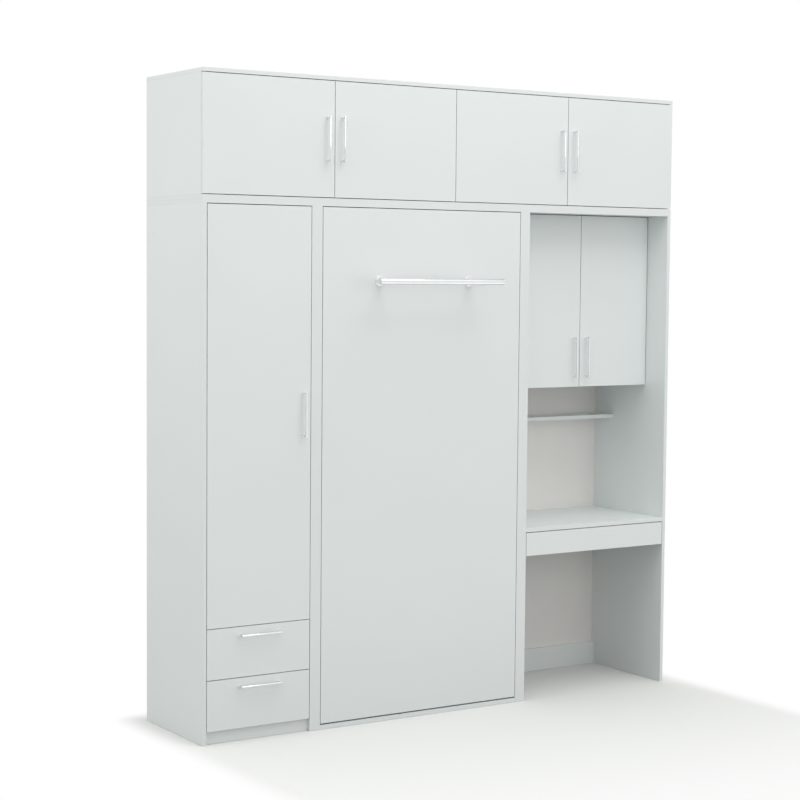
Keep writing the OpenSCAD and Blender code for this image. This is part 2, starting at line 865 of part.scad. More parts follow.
bed_brackets();
strut_cylinders();
strut_rods();
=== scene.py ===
# %% [markdown]
# # A bed that folds up into a wall of cupboards
# The construction comes in as a fixed frame: every board, tube and plate at its real size, each as
# its own object. Those already have the right shape, so they stay and get softened edges and a
# finish. Handles, the leg bar, the hinges, the mattress and its straps are modelled anew here.

# %% Load the frame
import math

import bmesh
import bpy
from mathutils import Matrix, Vector, noise


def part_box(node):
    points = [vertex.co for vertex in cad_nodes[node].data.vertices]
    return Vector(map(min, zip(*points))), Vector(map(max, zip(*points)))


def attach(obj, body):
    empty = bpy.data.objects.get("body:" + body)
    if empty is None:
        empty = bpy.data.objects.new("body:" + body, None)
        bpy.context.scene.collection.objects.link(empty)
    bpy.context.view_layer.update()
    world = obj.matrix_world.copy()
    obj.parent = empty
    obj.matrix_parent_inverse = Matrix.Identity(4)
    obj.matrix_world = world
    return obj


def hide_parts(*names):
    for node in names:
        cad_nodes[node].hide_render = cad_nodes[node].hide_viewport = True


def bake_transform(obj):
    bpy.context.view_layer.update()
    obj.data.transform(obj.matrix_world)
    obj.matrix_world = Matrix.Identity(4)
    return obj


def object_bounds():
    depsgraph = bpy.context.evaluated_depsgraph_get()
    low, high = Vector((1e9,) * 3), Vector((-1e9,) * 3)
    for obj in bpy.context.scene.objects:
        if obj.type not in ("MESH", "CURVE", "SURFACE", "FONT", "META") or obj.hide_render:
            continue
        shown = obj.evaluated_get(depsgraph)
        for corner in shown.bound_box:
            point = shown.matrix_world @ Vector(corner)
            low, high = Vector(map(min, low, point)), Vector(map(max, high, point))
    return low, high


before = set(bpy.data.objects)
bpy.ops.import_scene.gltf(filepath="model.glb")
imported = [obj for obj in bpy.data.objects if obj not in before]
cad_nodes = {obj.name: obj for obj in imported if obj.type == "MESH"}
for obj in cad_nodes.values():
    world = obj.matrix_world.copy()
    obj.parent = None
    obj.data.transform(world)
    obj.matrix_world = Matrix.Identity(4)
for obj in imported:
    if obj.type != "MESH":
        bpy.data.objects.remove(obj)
cad_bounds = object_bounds()

# %% [markdown]
# The camera comes first, because every later choice is judged through it. It stands to the left of
# the unit, a little under two metres high, and looks down by four degrees with a long lens, which
# keeps the uprights nearly parallel. It is turned in three steps, to the side, down, then about its
# own axis, so that each angle stays readable.

# %% Camera
CAMERA_AT = Vector((-4.4403, -6.980, 1.8311))
CAMERA_TO_RIGHT = math.radians(32.799)
CAMERA_DOWN = math.radians(3.835)
CAMERA_TILT = math.radians(0.484)

scene = bpy.context.scene
scene.view_settings.view_transform = "Standard"
camera_data = bpy.data.cameras.new("camera")
camera_data.lens = 85.48
camera_data.sensor_width = 36
camera = bpy.data.objects.new("camera", camera_data)
scene.collection.objects.link(camera)
side_turn = Matrix.Rotation(-CAMERA_TO_RIGHT, 4, "Z")
down_turn = Matrix.Rotation(math.pi / 2 - CAMERA_DOWN, 4, "X")
own_turn = Matrix.Rotation(CAMERA_TILT, 4, "Z")
camera.matrix_world = Matrix.Translation(CAMERA_AT) @ side_turn @ down_turn @ own_turn
scene.camera = camera
print("camera looks along", (side_turn @ down_turn @ own_turn @ Vector((0, 0, -1))).freeze())

# %% [markdown]
# A finish is a small network of shader nodes. In each one here the place on the piece drives a soft
# change of colour, a change of roughness and a fine bump. The place is read from Object coordinates,
# so the pattern sits still on its piece when a door opens. Colours are written as screen values from
# 0 to 255 and turned into the linear numbers that the shader wants.

# %% Helpers for finishes
WHITE = (1, 1, 1, 1)


def paint(red, green, blue):
    """Linear colour for the usual 0 to 255 screen values."""
    def linear(value):
        share = value / 255
        return share / 12.92 if share <= 0.04045 else ((share + 0.055) / 1.055) ** 2.4
    return (linear(red), linear(green), linear(blue), 1)


def new_finish(name):
    """A new material, its node tree and its shader."""
    material = bpy.data.materials.new(name)
    material.use_nodes = True
    return material, material.node_tree, material.node_tree.nodes["Principled BSDF"]


def feed(tree, value, socket):
    """Links a node's output to a socket, or sets the socket to a plain value."""
    if isinstance(value, bpy.types.NodeSocket):
        tree.links.new(value, socket)
    else:
        socket.default_value = value


def add_node(tree, kind, sockets=None, **settings):
    """A new shader node with its settings. Each socket named is given a link or a value."""
    node = tree.nodes.new("ShaderNode" + kind)
    for name, value in settings.items():
        setattr(node, name, value)
    for name, value in (sockets or {}).items():
        feed(tree, value, node.inputs[name])
    return node


def compute(tree, operation, *values):
    """One sum on links and numbers."""
    return add_node(tree, "Math", dict(enumerate(values)), operation=operation).outputs["Value"]


def place_on_piece(tree, stretch=(1, 1, 1)):
    """Object coordinates, stretched along the axes."""
    place = add_node(tree, "TexCoord").outputs["Object"]
    return add_node(tree, "Mapping", {"Vector": place, "Scale": stretch}).outputs["Vector"]


def facing(tree, axis):
    """1 where the surface looks along that axis, 0 where it looks across it."""
    normal = add_node(tree, "TexCoord").outputs["Normal"]
    parts = add_node(tree, "SeparateXYZ", {"Vector": normal})
    return compute(tree, "ABSOLUTE", parts.outputs[axis])


def cloudy(tree, vector, scale, detail=3):
    """Soft noise from 0 to 1 with about that many blobs per metre."""
    sockets = {"Vector": vector, "Scale": scale, "Detail": detail}
    return add_node(tree, "TexNoise", sockets).outputs["Fac"]


def between(tree, factor, low, high):
    """Takes a factor from 0 to 1 to a value from low to high."""
    sockets = {"Value": factor, "To Min": low, "To Max": high}
    return add_node(tree, "MapRange", sockets).outputs["Result"]


def blend_colours(tree, factor, first, second):
    """Goes from the first colour to the second as the factor goes from 0 to 1."""
    # A Mix node takes its two colours in sockets 6 and 7 and gives one in output 2.
    mix = add_node(tree, "Mix", {"Factor": factor, 6: first, 7: second}, data_type="RGBA")
    return mix.outputs[2]


def dress(tree, shader, colour, rough, height, depth):
    """Gives the shader its colour and roughness, and bumps of that depth in metres."""
    bump = add_node(tree, "Bump", {"Height": height, "Strength": 1, "Distance": depth})
    links = {"Base Color": colour, "Roughness": rough, "Normal": bump.outputs["Normal"]}
    for name, value in links.items():
        feed(tree, value, shader.inputs[name])


def mottled_finish(name, light, dark, patches, roughness, grain, grain_depth, metallic=0):
    """A finish with soft patches of two near colours, uneven roughness and a fine grain."""
    material, tree, shader = new_finish(name)
    vector = place_on_piece(tree)
    dress(tree, shader, blend_colours(tree, cloudy(tree, vector, patches), paint(*light), paint(*dark)),
          between(tree, cloudy(tree, vector, patches * 3), *roughness),
          cloudy(tree, vector, grain), grain_depth)
    shader.inputs["Metallic"].default_value = metallic
    return material


# %% [markdown]
# The boards of such furniture are chipboard with a white melamine skin. The skin is satin, not
# glossy, with a faint orange-peel texture pressed into it. The cut edges are closed by a plastic
# band, a shade duller than the face. The band is told from the face by the direction of the surface:
# a board that is thin along X has its bands where the surface looks along Y or Z.

# %% Melamine boards
BOARD_LIGHT = paint(232, 237, 236)
BOARD_DARK = BAND = paint(228, 233, 232)
BOARD_PATCHES = 2.5
BOARD_SMUDGES = 9
BOARD_ROUGHNESS = (0.36, 0.46)
ORANGE_PEEL = 420
ORANGE_PEEL_DEPTH = 0.00006


def melamine(axis):
    """Melamine for boards that are thin along that axis: 0 for X, 1 for Y, 2 for Z."""
    material, tree, shader = new_finish("melamine_" + "xyz"[axis])
    vector = place_on_piece(tree)
    face = blend_colours(tree, cloudy(tree, vector, BOARD_PATCHES), BOARD_LIGHT, BOARD_DARK)
    dress(tree, shader, blend_colours(tree, facing(tree, axis), BAND, face),
          between(tree, cloudy(tree, vector, BOARD_SMUDGES), *BOARD_ROUGHNESS),
          cloudy(tree, vector, ORANGE_PEEL), ORANGE_PEEL_DEPTH)
    return material


board_x, board_y, board_z = (melamine(axis) for axis in range(3))
print("board finishes:", board_x.name, board_y.name, board_z.name)

# %% [markdown]
# The thin panel at the back of the desk niche is hardboard with a painted face. It is a warmer,
# darker grey than the boards, and a little less even, because the paint is rolled on thinly.

# %% Back panel of the niche
hardboard = mottled_finish("painted_hardboard", (236, 233, 230), (230, 227, 224), patches=6,
                           roughness=(0.5, 0.62), grain=700, grain_depth=0.00008)
print("made", hardboard.name)

# %% [markdown]
# Metal has four kinds of skin here. The handles and the leg are chromed, so they are nearly mirrors.
# Hinges, runners and brackets are zinc plated, duller and faintly patchy. The bed frame is welded
# tube with a grey powder coat, whose skin has fine pimples. The gas struts have black painted
# cylinders. Metallic is 1 for bare metal and 0 for paint on metal. The buckles of the mattress
# straps are black plastic.

# %% Metals, paints and plastic
METALS = (
    # name, light and dark colour, patches, roughness, grain, depth of the grain, metallic
    ("chrome", (232, 233, 234), (225, 226, 228), 30, (0.08, 0.16), 300, 0.000004, 1),
    ("zinc_plate", (196, 199, 203), (178, 182, 188), 60, (0.28, 0.42), 900, 0.00002, 1),
    ("grey_powder_coat", (150, 153, 156), (143, 146, 149), 20, (0.42, 0.55), 1500, 0.00012, 0),
    ("black_paint", (34, 35, 37), (26, 27, 29), 25, (0.25, 0.38), 900, 0.00003, 0),
    ("black_plastic", (42, 43, 45), (34, 35, 37), 40, (0.5, 0.65), 1800, 0.00006, 0))
chrome, zinc, powder_coat, black_paint, black_plastic = [mottled_finish(*row) for row in METALS]
print("made", ", ".join(row[0] for row in METALS))

# %% [markdown]
# The slats are bent from birch veneer. Birch is pale, with fine fibres along the slat and, on the
# edges, the dark and light lines of the glued layers. Noise that is squeezed across the slat turns
# its round blobs into fibres, and a wave across the thickness gives the layers.

# %% Slat wood
FIBRE_STRETCH = (3, 60, 90)
FIBRE_SCALE = FIBRE_DETAIL = 6
FIBRE_DEPTH = 0.0001
LAYER_SCALE = 110
LAYER_WOBBLE = 0.6
SLAT_ROUGHNESS = (0.42, 0.56)


def birch():
    """Veneer with fibres along X on its faces and glued layers on its edges."""
    material, tree, shader = new_finish("birch_veneer")
    fibres = cloudy(tree, place_on_piece(tree, FIBRE_STRETCH), FIBRE_SCALE, FIBRE_DETAIL)
    face = blend_colours(tree, fibres, paint(226, 201, 160), paint(208, 176, 130))
    sockets = {"Vector": place_on_piece(tree), "Scale": LAYER_SCALE, "Distortion": LAYER_WOBBLE}
    layers = add_node(tree, "TexWave", sockets, bands_direction="Y")
    lines = blend_colours(tree, layers.outputs["Fac"], paint(176, 138, 92), paint(220, 192, 150))
    dress(tree, shader, blend_colours(tree, facing(tree, 2), face, lines),
          between(tree, fibres, *SLAT_ROUGHNESS), fibres, FIBRE_DEPTH)
    return material


slat_wood = birch()
print("made", slat_wood.name)

# %% [markdown]
# A mattress cover is a soft knit, and a strap is a flat weave. Both are threads that cross, so both
# come from two sets of sine waves at right angles. Their product makes the small bumps of the knit;
# the strap runs one set of waves closer and the other wider, which gives the ribs of webbing. The
# colour is darker in the dips between the threads and lighter on their tops, which is painted shade,
# and that is blended with soft clouds of random tone. The threads follow the piece's own UV map, so
# they turn with the cloth round a corner.

# %% Knit and webbing
CLOTH_CLOUDS = 14
SHEEN_ROUGHNESS = 0.5


def woven_finish(name, light, dark, threads, depth, roughness, sheen):
    """Cloth whose threads follow the UV map, in metres, with so many threads per metre each way."""
    material, tree, shader = new_finish(name)
    uv = add_node(tree, "UVMap", uv_map="UVMap").outputs["UV"]
    parts = add_node(tree, "SeparateXYZ", {"Vector": uv})
    waves = [compute(tree, "SINE", compute(tree, "MULTIPLY", parts.outputs[axis], count * 2 * math.pi))
             for axis, count in enumerate(threads)]
    sockets = {"Value": compute(tree, "MULTIPLY", *waves), "From Min": -1, "From Max": 1}
    height = add_node(tree, "MapRange", sockets).outputs["Result"]
    clouds = cloudy(tree, place_on_piece(tree), CLOTH_CLOUDS, detail=4)
    # Painted shade: the colour goes darker in the dips between the threads, where the bump is low, and
    # lighter on their tops.
    shade_between_threads, soft = (blend_colours(tree, factor, paint(*dark), paint(*light))
                    for factor in (height, clouds))
    dress(tree, shader, blend_colours(tree, clouds, shade_between_threads, soft),
          between(tree, clouds, *roughness), height, depth)
    shader.inputs["Sheen Weight"].default_value = sheen
    shader.inputs["Sheen Roughness"].default_value = SHEEN_ROUGHNESS
    return material


ticking = woven_finish("knit_ticking", (240, 240, 236), (222, 223, 219), threads=(450, 450),
                       depth=0.0003, roughness=(0.7, 0.85), sheen=0.25)
piping_cloth = woven_finish("piping_tape", (206, 208, 208), (186, 189, 190), threads=(700, 700),
                            depth=0.0002, roughness=(0.65, 0.8), sheen=0.2)
webbing = woven_finish("strap_webbing", (72, 75, 80), (48, 50, 54), threads=(900, 260),
                       depth=0.0005, roughness=(0.6, 0.75), sheen=0.3)
print("made", ticking.name, piping_cloth.name, webbing.name)

# %% [markdown]
# A real edge is never a knife edge: the edge band is rounded by about half a millimetre, welded tube
# by more. A live Bevel modifier gives that highlight along each edge, and Weighted Normal keeps the
# flat faces flat. Weld comes first, because the mesh of a node is loose triangles.

# %% Soften and finish the frame's own parts
NEAR = 0.00001
SHARP_ANGLE = 35


def finish_node(node, material, width):
    """Gives a CAD node its finish, and live modifiers that round its edges."""
    obj = cad_nodes[node]
    obj.data.materials.clear()
    obj.data.materials.append(material)
    obj.modifiers.new("weld", "WELD").merge_threshold = NEAR
    bevel = obj.modifiers.new("round_edges", "BEVEL")
    bevel.width = width
    bevel.segments = 2
    bevel.limit_method = "ANGLE"
    bevel.angle_limit = math.radians(SHARP_ANGLE)
    bevel.harden_normals = True
    obj.modifiers.new("flat_faces", "WEIGHTED_NORMAL").keep_sharp = True


doors = ["top_door_1", "top_door_2", "top_door_3", "top_door_4", "wardrobe_door",
         "recess_door_left", "recess_door_right"]
drawers = ["lower_drawer", "upper_drawer", "desk_drawer"]
upright_boards = ["wardrobe_sides", "bay_sides", "desk_sides", "top_uprights"]
facing_boards = doors + [drawer + "_front" for drawer in drawers] + [
    "bed_front", "wardrobe_plinth", "rear_rails", "back_panels"]
lying_boards = ["wardrobe_boards", "bay_floor", "desk_top", "niche_boards", "main_top_board",
                "top_floor_board", "top_roof_board"] + [drawer + "_box" for drawer in drawers]
zinc_parts = ["runner_tracks", "lift_side_plates", "bed_brackets"] + [
    drawer + "_slides" for drawer in drawers]

EDGE_BAND_ROUND = 0.0006
SHEET_METAL_ROUND = 0.0004
TUBE_ROUND = 0.0015
SLAT_ROUND = 0.003
for names, material, width in ((upright_boards, board_x, EDGE_BAND_ROUND),
                               (facing_boards, board_y, EDGE_BAND_ROUND),
                               (lying_boards, board_z, EDGE_BAND_ROUND),
                               (["niche_back"], hardboard, EDGE_BAND_ROUND),
                               (zinc_parts, zinc, SHEET_METAL_ROUND),
                               (["clothes_rail", "strut_rods"], chrome, SHEET_METAL_ROUND),
                               (["strut_cylinders"], black_paint, SHEET_METAL_ROUND),
                               (["bed_frame"], powder_coat, TUBE_ROUND),
                               (["bed_slats"], slat_wood, SLAT_ROUND)):
    for name in names:
        finish_node(name, material, width)
    print(material.name, "on", len(names), "parts")

# %% [markdown]
# The new pieces are modelled as by hand: a primitive is added at its size and place, its faces or
# edges are picked by where they lie, and the usual edit tools shape it. These helpers do that and
# keep every piece's object at the origin, unturned, with its place in its mesh.

# %% Helpers for modelling
X, Y, Z = range(3)
UPRIGHT = (math.pi / 2, 0, 0)


def only(obj):
    """Makes obj the one selected and active object."""
    bpy.ops.object.select_all(action="DESELECT")
    obj.select_set(True)
    bpy.context.view_layer.objects.active = obj


def settle(name):
    """Names the primitive just added and puts its place into its mesh."""
    obj = bpy.context.active_object
    obj.name = obj.data.name = name
    only(obj)
    bpy.ops.object.transform_apply(location=True, rotation=True, scale=True)
    return obj


def block(name, low, high):
    """A box between two corners."""
    bpy.ops.mesh.primitive_cube_add(size=1, location=(Vector(low) + Vector(high)) / 2)
    bpy.context.active_object.scale = Vector(high) - Vector(low)
    return settle(name)


def sheet(name, middle, width, height, rotation=(0, 0, 0)):
    """A flat rectangle about its middle, level unless it is turned."""
    bpy.ops.mesh.primitive_plane_add(size=1, location=middle, rotation=rotation)
    bpy.context.active_object.scale = (width, height, 1)
    return settle(name)


def rod(name, radius, start, end, sides=32):
    """A closed round bar between two points."""
    span = Vector(end) - Vector(start)
    bpy.ops.mesh.primitive_cylinder_add(
        vertices=sides, radius=radius, depth=span.length, location=(Vector(start) + Vector(end)) / 2,
        rotation=span.to_track_quat("Z", "Y").to_euler())
    return settle(name)


def at(axis, value):
    """A test for edges that lie at that value of an axis."""
    return lambda edge: all(abs(vertex.co[axis] - value) < NEAR for vertex in edge.verts)


def across(axis):
    """A test for edges square to an axis."""
    return lambda edge: abs(edge.verts[0].co[axis] - edge.verts[1].co[axis]) < NEAR


def along(axis, length):
    """A test for edges that run further than that length along an axis."""
    return lambda edge: abs(edge.verts[0].co[axis] - edge.verts[1].co[axis]) > length


def looking(axis, side):
    """A test for faces that look to the high end of an axis, 1, or to its low end, -1."""
    return lambda face: face.normal[axis] * side > 0.9


def edit(obj):
    """Opens obj alone in edit mode."""
    only(obj)
    bpy.ops.object.mode_set(mode="EDIT")


def done():
    """Leaves edit mode."""
    bpy.ops.object.mode_set(mode="OBJECT")


def pick(obj, kind, test):
    """In edit mode: selects the faces, edges or vertices that pass the test, and nothing else."""
    bpy.ops.mesh.select_mode(type=kind)
    bpy.ops.mesh.select_all(action="DESELECT")
    mesh = bmesh.from_edit_mesh(obj.data)
    for part in {"VERT": mesh.verts, "EDGE": mesh.edges, "FACE": mesh.faces}[kind]:
        if test(part):
            part.select_set(True)
    mesh.select_flush_mode()
    bmesh.update_edit_mesh(obj.data)


def pick_all():
    bpy.ops.mesh.select_all(action="SELECT")


def extrude(x, y, z):
    bpy.ops.mesh.extrude_region_move(TRANSFORM_OT_translate={"value": (x, y, z)})


def face_outwards():
    pick_all()
    bpy.ops.mesh.normals_make_consistent(inside=False)


def round_edges(obj, width, segments, test):
    """Rounds the edges that pass the test."""
    edit(obj)
    pick(obj, "EDGE", test)
    bpy.ops.mesh.bevel(offset=width, segments=segments, affect="EDGES")
    done()


def apply_modifier(obj, kind, **settings):
    """Adds a modifier and applies it at once."""
    modifier = obj.modifiers.new(kind.lower(), kind)
    for name, value in settings.items():
        setattr(modifier, name, value)
    only(obj)
    bpy.ops.object.modifier_apply(modifier=modifier.name)


def drop(obj):
    """Takes away an object that has done its work."""
    bpy.data.objects.remove(obj, do_unlink=True)


def carve(obj, tool, operation="DIFFERENCE"):
    """Cuts the tool out of obj and drops the tool."""
    apply_modifier(obj, "BOOLEAN", object=tool, operation=operation, solver="EXACT")
    drop(tool)


def fuse(obj, tool):
    """Fuses the tool onto obj and drops the tool."""
    carve(obj, tool, "UNION")


def copied(obj, name, place):
    """A copy with its own mesh, moved by a matrix. A mirrored copy is turned right side out."""
    copy = bpy.data.objects.new(name, obj.data.copy())
    copy.data.name = name
    scene.collection.objects.link(copy)
    copy.data.transform(place)
    if place.determinant() < 0:
        edit(copy)
        pick_all()
        bpy.ops.mesh.remove_doubles(threshold=NEAR / 10)
        face_outwards()
        done()
    return copy


def joined(objects, name):
    """Several objects as one."""
    bpy.ops.object.select_all(action="DESELECT")
    for obj in objects:
        obj.select_set(True)
    bpy.context.view_layer.objects.active = objects[0]
    if len(objects) > 1:
        bpy.ops.object.join()
    objects[0].name = objects[0].data.name = name
    return objects[0]


def set_piece(obj, body, material, slot, *nodes, smooth=SHARP_ANGLE):
    """Shades a piece and gives it its finish. Attaches it to its body unless that is None, and hides
    the frame's nodes it stands for.
    """
    only(obj)
    bpy.ops.object.shade_smooth_by_angle(angle=math.radians(smooth))
    obj.data.materials.clear()
    obj.data.materials.append(material)
    for face in obj.data.polygons:
        face.material_index = 0
    if body:
        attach(obj, body)
    if nodes:
        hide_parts(*nodes)


def tell(obj):
    """Prints the size of a piece and its number of faces."""
    size = " x ".join(str(round(length * 1000, 1)) for length in obj.dimensions)
    print(obj.name, size, "mm,", len(obj.data.polygons), "faces")


# %% [markdown]
# The doors and the wardrobe's two drawers have the same handle: a bar on two thinner posts. One is
# modelled standing upright against the plane y = 0. The bar's ends are rounded over, and each post
# grows out of a small collar that covers the drilled hole. Bar and posts are fused into one skin.

# %% One bar handle
low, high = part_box("top_door_1_handle")
BAR_RADIUS = (high.x - low.x) / 2
BAR_LENGTH = high.z - low.z
BAR_OUT = high.y - low.y - BAR_RADIUS
BAR_END_ROUND = 0.0012
POST_INSET = 0.006
POST_RADIUS = 0.004
COLLAR_RADIUS = 0.0062
COLLAR_HEIGHT = 0.0018
COLLAR_ROUND = 0.0005


def make_post(height):
    """A post from the bar to the front, with a collar where it stands on the front."""
    post = rod("post", POST_RADIUS, (0, -BAR_OUT, height), (0, 0, height), sides=24)
    edit(post)
    pick(post, "FACE", looking(Y, 1))
    bpy.ops.transform.translate(value=(0, -COLLAR_HEIGHT, 0))
    extrude(0, 0, 0)
    growth = COLLAR_RADIUS / POST_RADIUS
    bpy.ops.transform.resize(value=(growth, 1, growth), center_override=(0, -COLLAR_HEIGHT, height))
    extrude(0, COLLAR_HEIGHT, 0)
    done()
    on_rim = COLLAR_RADIUS * 0.98
    round_edges(post, COLLAR_ROUND, 2, lambda edge: all(
        math.hypot(v.co.x, v.co.z - height) > on_rim and v.co.y < -COLLAR_HEIGHT / 2
        for v in edge.verts))
    return post


def make_bar_handle():
    """The bar and its two posts in one skin."""
    half = BAR_LENGTH / 2
    bar = rod("bar", BAR_RADIUS, (0, -BAR_OUT, -half), (0, -BAR_OUT, half))
    round_edges(bar, BAR_END_ROUND, 3, across(Z))
    for side in (-1, 1):
        fuse(bar, make_post(side * (half - POST_INSET)))
    return bar


bar_handle = make_bar_handle()
tell(bar_handle)

# %% [markdown]
# The copies stand upright on doors and lie on drawers. The box of the handle in the frame gives the
# place of each, and its longer side says which way it runs.

# %% Handles on doors and drawers
for body in doors + ["lower_drawer", "upper_drawer"]:
    low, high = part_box(body + "_handle")
    lies = high.x - low.x > high.z - low.z
    turn = Matrix.Rotation(math.pi / 2 if lies else 0, 4, "Y")
    spot = Matrix.Translation(((low.x + high.x) / 2, high.y, (low.z + high.z) / 2))
    handle = copied(bar_handle, body + "_bar_handle", spot @ turn)
    set_piece(handle, body, chrome, "bright_metal", body + "_handle", smooth=30)
    tell(handle)
drop(bar_handle)

# %% [markdown]
# A straight bar across the bed front is the pull handle of the closed bed and the foot of the open
# one: it stands as far off the front as the open bed hangs over the floor. It is a drawn tube with a
# pressed-in cap at each end, on two posts with screwed flanges, all chromed. Tube, posts and flanges
# are fused with a Boolean, and the rounded rims of tube and cap leave the fine groove between them.

# %% The leg bar
LEG_RADIUS = 0.0125
LEG_SPAN = 0.434
LEG_POST_RADIUS = 0.010
CAP_THICKNESS = 0.003
CAP_GAP = 0.0001
CAP_ROUND = 0.0018
CAP_SEAM_ROUND = 0.0003
FLANGE_THICKNESS = 0.004
FLANGE_ROUND = 0.0014
FLANGE_SCREWS = 3
FLANGE_SCREW_RADIUS = 0.0028
FLANGE_SCREW_RISE = Vector((0, -0.0009, 0))
FLANGE_SCREW_SUNK = Vector((0, 0.001, 0))
FLANGE_SCREW_ROUND = 0.0007
leg_low, leg_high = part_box("bed_leg")
flange_radius = (leg_high.z - leg_low.z) / 2
leg_height = (leg_high.z + leg_low.z) / 2
leg_bar_y = leg_low.y + LEG_RADIUS
front_y = leg_high.y


def leg_rod(name, radius, start, end, sides):
    """A round bar at the height of the leg. Its ends are given by X and Y."""
    return rod(name, radius, (*start, leg_height), (*end, leg_height), sides)


def make_leg_cap(tip, inward):
    """An end cap of the bar. Its outer rim is well rounded, its inner one only a little."""
    face = tip + inward * CAP_THICKNESS
    cap = leg_rod("leg_cap", LEG_RADIUS, (tip, leg_bar_y), (face, leg_bar_y), sides=48)
    round_edges(cap, CAP_ROUND, 4, at(X, tip))
    round_edges(cap, CAP_SEAM_ROUND, 2, at(X, face))
    return cap


def make_flange(x):
    """A round flange with a rounded rim and domed screw heads."""
    face_y = front_y - FLANGE_THICKNESS
    flange = leg_rod("flange", flange_radius, (x, face_y), (x, front_y), sides=64)
    round_edges(flange, FLANGE_ROUND, 3, at(Y, face_y))
    screw_circle = (flange_radius + LEG_POST_RADIUS) / 2
    for turn in range(FLANGE_SCREWS):
        angle = math.radians(90 + turn * 360 / FLANGE_SCREWS)
        spot = Vector((x, face_y, leg_height))
        spot += screw_circle * Vector((math.cos(angle), 0, math.sin(angle)))
        top = spot + FLANGE_SCREW_RISE
        head = rod("screw", FLANGE_SCREW_RADIUS, top, spot + FLANGE_SCREW_SUNK, sides=20)
        round_edges(head, FLANGE_SCREW_ROUND, 2, at(Y, top.y))
        fuse(flange, head)
    return flange


def make_leg():
    """The tube with its posts and flanges in one skin, and the two caps."""
    shorter = CAP_THICKNESS + CAP_GAP
    leg = leg_rod("leg_and_pull", LEG_RADIUS, (leg_low.x + shorter, leg_bar_y),
                  (leg_high.x - shorter, leg_bar_y), sides=48)
    round_edges(leg, CAP_SEAM_ROUND, 2, across(X))
    middle_x = (leg_low.x + leg_high.x) / 2
    for x in (middle_x - LEG_SPAN / 2, middle_x + LEG_SPAN / 2):
        fuse(leg, leg_rod("post", LEG_POST_RADIUS, (x, leg_bar_y), (x, front_y), sides=40))
        fuse(leg, make_flange(x))
    return joined([leg, make_leg_cap(leg_low.x, 1), make_leg_cap(leg_high.x, -1)], "leg_and_pull")


leg = make_leg()
set_piece(leg, "bed", chrome, "bright_metal", "bed_leg", smooth=30)
tell(leg)

# %% [markdown]
# The mattress is a foam core in a quilted cover. Its border is sewn to the two large panels along
# piped seams, and the cover swells between them. That swelling makes it look soft, so it is
# simulated: a slightly small block with rounded corners is remeshed into an even net, pinned along
# its seams and blown up a little as cloth, by no more than keeps the mattress to its real size.

# %% Mattress block
MATTRESS_INSET = 0.008
CORNER_ROUND = 0.055
PANEL_EDGE_ROUND = 0.010
NET = 0.014
SEAM_INSET = 0.007
mattress_low, mattress_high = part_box("mattress")


def make_mattress_block():
    """A slightly small block with rounded corners, in an even net."""
    inset = Vector((MATTRESS_INSET, MATTRESS_INSET, MATTRESS_INSET))
    obj = block("quilted_mattress", mattress_low + inset, mattress_high - inset)
    round_edges(obj, CORNER_ROUND, 6, along(Y, CORNER_ROUND))
    round_edges(obj, PANEL_EDGE_ROUND, 2, across(Y))
    apply_modifier(obj, "REMESH", mode="VOXEL", voxel_size=NET)
    return obj


mattress = make_mattress_block()
tell(mattress)

# %% [markdown]
# Cloth simulation needs three things: a group of points that stay where they are, which here are
# the seams, a pressure that pushes the rest outwards, and no gravity, because the core carries the
# cover. Twenty steps are enough to settle. The result is applied, so no simulation is left live.

# %% Let the cover swell
PRESSURE = 4
STEPS = 20
STIFFNESS = 12
BENDING = 2
SWELL_CAP = 0.009
SEAM_REACH = MATTRESS_INSET + 0.8 * NET


def near_seam(point):
    """True close to the two seams that run round the mattress."""
    from_x, from_y, from_z = (min(point[axis] - mattress_low[axis], mattress_high[axis] - point[axis])
                              for axis in (X, Y, Z))
    return from_y < SEAM_REACH and min(from_x, from_z) < SEAM_REACH


def swell(obj):
    """Blows the cover up between its seams. Gives back how far its points moved at most."""
    before = [vertex.co.copy() for vertex in obj.data.vertices]
    seams = obj.vertex_groups.new(name="seams")
    seams.add([vertex.index for vertex in obj.data.vertices if near_seam(vertex.co)], 1, "ADD")
    cloth = obj.modifiers.new("cloth", "CLOTH")
    settings = cloth.settings
    settings.vertex_group_mass = "seams"
    settings.use_pressure = True
    settings.uniform_pressure_force = PRESSURE
    settings.effector_weights.gravity = 0
    settings.tension_stiffness = settings.compression_stiffness = STIFFNESS
    settings.bending_stiffness = BENDING
    cloth.collision_settings.use_collision = False
    cloth.point_cache.frame_end = STEPS
    for step in range(1, STEPS + 1):
        scene.frame_set(step)
    only(obj)
    bpy.ops.object.modifier_apply(modifier=cloth.name)
    scene.frame_set(1)
    furthest = 0
    for vertex, start in zip(obj.data.vertices, before):
        move = vertex.co - start
        if move.length > SWELL_CAP:
            vertex.co = start + move * (SWELL_CAP / move.length)
        furthest = max(furthest, (vertex.co - start).length)
    obj.vertex_groups.clear()
    return furthest


print("the cover swells by up to", round(swell(mattress) * 1000, 1), "mm")
apply_modifier(mattress, "SUBSURF", levels=1, render_levels=1)

# %% [markdown]
# Quilting is stitched through the cover in crossing lines, so each diamond puffs up between sunk
# lines: the nearer a point lies to a line, the deeper it sinks. The lines stop short of the border,
# which has two stitched channels of its own, and the cover sinks under the two straps. Last, every
# point is held inside the block that the frame gives.

